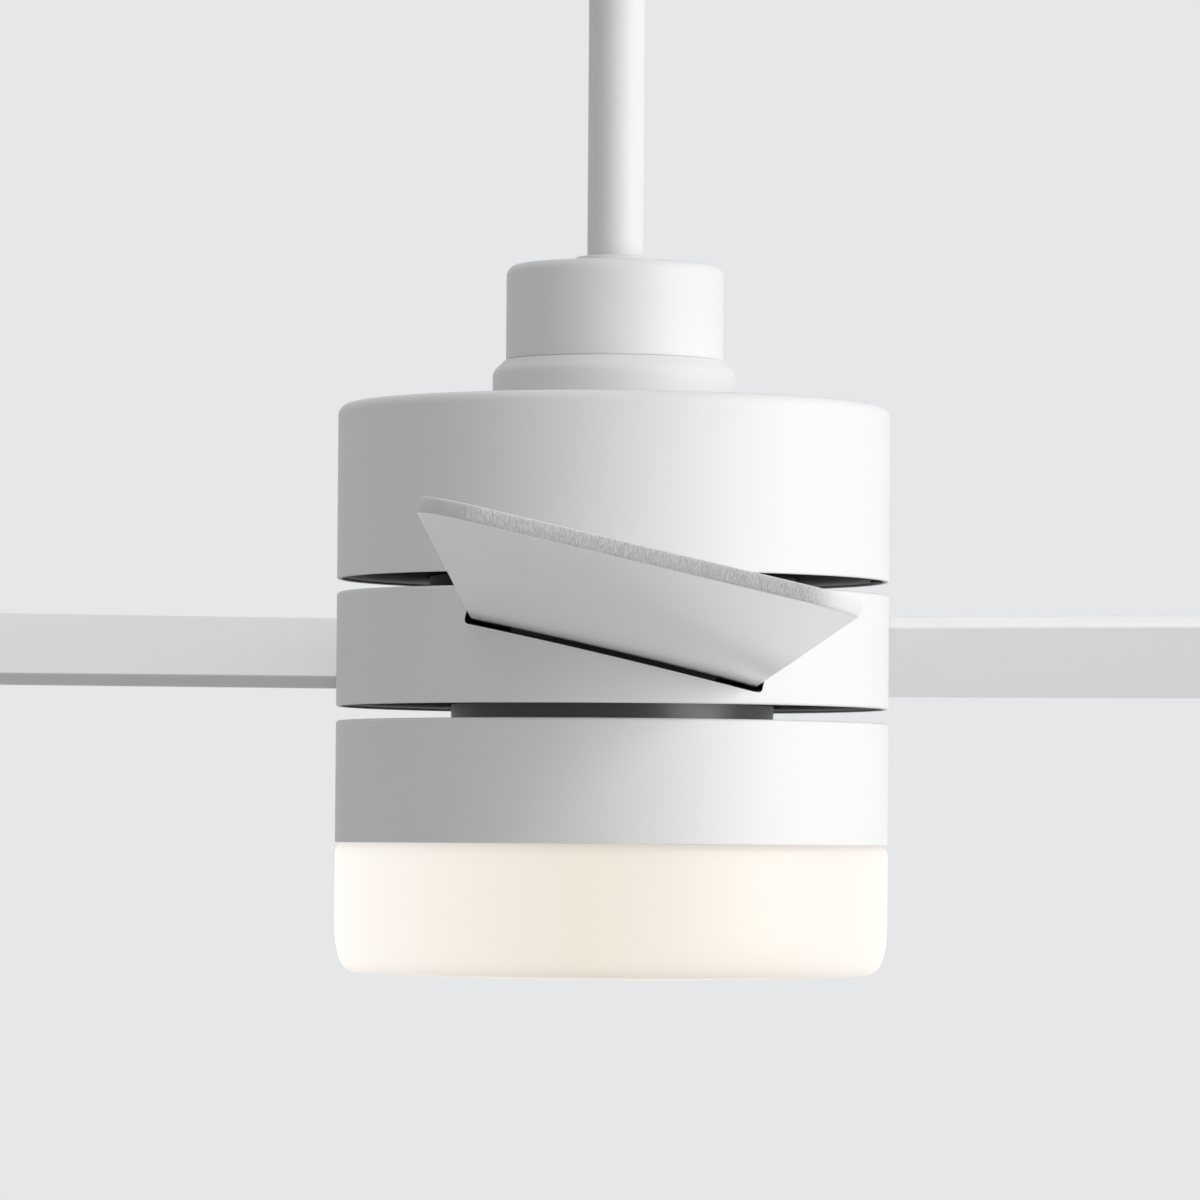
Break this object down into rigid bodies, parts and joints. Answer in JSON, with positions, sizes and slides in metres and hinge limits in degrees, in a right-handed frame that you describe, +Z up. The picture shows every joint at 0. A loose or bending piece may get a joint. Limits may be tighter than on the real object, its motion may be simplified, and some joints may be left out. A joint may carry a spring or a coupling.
{
  "type": "ceiling fan with light",
  "caption": "Downrod ceiling fan: pitched flat blades on a turning ring between two fixed drums, a round LED light below, ball-hung canopy above.",
  "frame": {"origin": "centre of the mounting strap's top face, in the ceiling's plane", "axes": "+Z up into the ceiling along the downrod; +X along the mounting strap; the first blade points to -Y"},
  "size_m": [1.3814, 1.2025, 0.6332],
  "materials": {
    "galvanised_steel": "zinc plated, dull",
    "plated_screws": "zinc plated",
    "earth_green": "green screw",
    "receiver_plastic": "matte moulded",
    "white_enamel": "satin white powder coat on pressed steel",
    "white_shell": "satin white, moulded and sprayed",
    "ball_plastic": "smooth moulded",
    "wire_sheath": "dull",
    "yoke_iron": "cast and plated",
    "shaft_steel": "ground",
    "bearing_steel": "polished",
    "stator_steel": "stamped laminations, varnished",
    "copper_wire": "enamelled copper",
    "magnet_grey": "sintered",
    "cast_aluminium": "die-cast",
    "black_rotor": "black coated casting",
    "black_shield": "black moulded",
    "neck_grey": "grey satin paint on a casting",
    "blade_white": "plywood, sprayed satin white",
    "led_aluminium": "sheet",
    "board_white": "white mask on aluminium core",
    "driver_white": "moulded case",
    "opal_diffuser": "opal, lit from inside"
  },
  "bodies": {
    "ceiling_mount": {"mounting_strap": "galvanised_steel", "ball_hanger": "galvanised_steel", "hanger_rivets": "galvanised_steel", "earth_screw": "earth_green", "receiver_box": "receiver_plastic", "canopy": "white_enamel", "canopy_screws": "white_enamel"},
    "hanging_unit": {"hanger_ball": "ball_plastic", "ball_pin": "plated_screws", "ball_set_screw": "plated_screws", "downrod": "white_enamel", "supply_loom": "wire_sheath", "loom_plug": "receiver_plastic", "yoke": "yoke_iron", "clevis_pin": "plated_screws", "cotter_pin": "plated_screws", "yoke_set_screws": "plated_screws", "yoke_jam_nuts": "plated_screws", "coupling_collar": "white_shell", "yoke_flange_screws": "plated_screws", "upper_drum": "white_shell", "drum_backing_ring": "galvanised_steel", "upper_shield": "black_shield", "shield_screws": "plated_screws", "motor_shaft": "shaft_steel", "shaft_circlips": "bearing_steel", "stator_hub": "cast_aluminium", "stator_core": "stator_steel", "stator_coils": "copper_wire", "upper_bearing_inner": "bearing_steel", "lower_bearing_inner": "bearing_steel", "shaft_spacer": "shaft_steel", "light_neck": "neck_grey", "neck_nut": "plated_screws", "lower_drum": "white_shell", "led_standoffs": "plated_screws", "led_plate": "led_aluminium", "led_board": "board_white", "led_driver": "driver_white"},
    "sliding_cover": {"coupling_cover": "white_enamel", "cover_grommet": "white_shell"},
    "rotor": {"upper_bearing_outer": "bearing_steel", "lower_bearing_outer": "bearing_steel", "rotor_upper_shell": "black_rotor", "rotor_lower_shell": "black_rotor", "rotor_screws": "plated_screws", "back_iron": "stator_steel", "rotor_magnets": "magnet_grey", "blade_carrier": "cast_aluminium", "carrier_screws": "plated_screws", "blade_ring": "white_shell", "ring_shield": "black_shield", "blade_1": "blade_white", "blade_2": "blade_white", "blade_3": "blade_white", "blade_clamps": "black_rotor", "blade_screws": "plated_screws"},
    "upper_ball_cage": {"upper_bearing_balls": "bearing_steel"},
    "lower_ball_cage": {"lower_bearing_balls": "bearing_steel"},
    "twist_diffuser": {"diffuser": "opal_diffuser"}
  },
  "joints": [
    {"name": "ball_swing", "type": "hinge", "parent": "ceiling_mount", "child": "hanging_unit", "pos_m": [0, 0, -0.044], "axis": [1, 0, 0], "range_deg": [-15, 15]},
    {"name": "cover_lift", "type": "slide", "parent": "hanging_unit", "child": "sliding_cover", "axis": [0, 0, 1], "range_m": [0, 0.1]},
    {"name": "fan_spin", "type": "hinge", "parent": "hanging_unit", "child": "rotor", "pos_m": [0, 0, -0.42725], "axis": [0, 0, 1], "continuous": true},
    {"name": "upper_cage_spin", "type": "hinge", "parent": "hanging_unit", "child": "upper_ball_cage", "pos_m": [0, 0, -0.4], "axis": [0, 0, 1], "continuous": true},
    {"name": "lower_cage_spin", "type": "hinge", "parent": "hanging_unit", "child": "lower_ball_cage", "pos_m": [0, 0, -0.4545], "axis": [0, 0, 1], "continuous": true},
    {"name": "diffuser_twist", "type": "hinge", "parent": "hanging_unit", "child": "twist_diffuser", "pos_m": [0, 0, -0.5722], "axis": [0, 0, 1], "range_deg": [0, 20]}
  ],
  "couplings": [
    {"joint": "upper_cage_spin", "follows": "fan_spin", "ratio": 0.619},
    {"joint": "lower_cage_spin", "follows": "fan_spin", "ratio": 0.619}
  ]
}
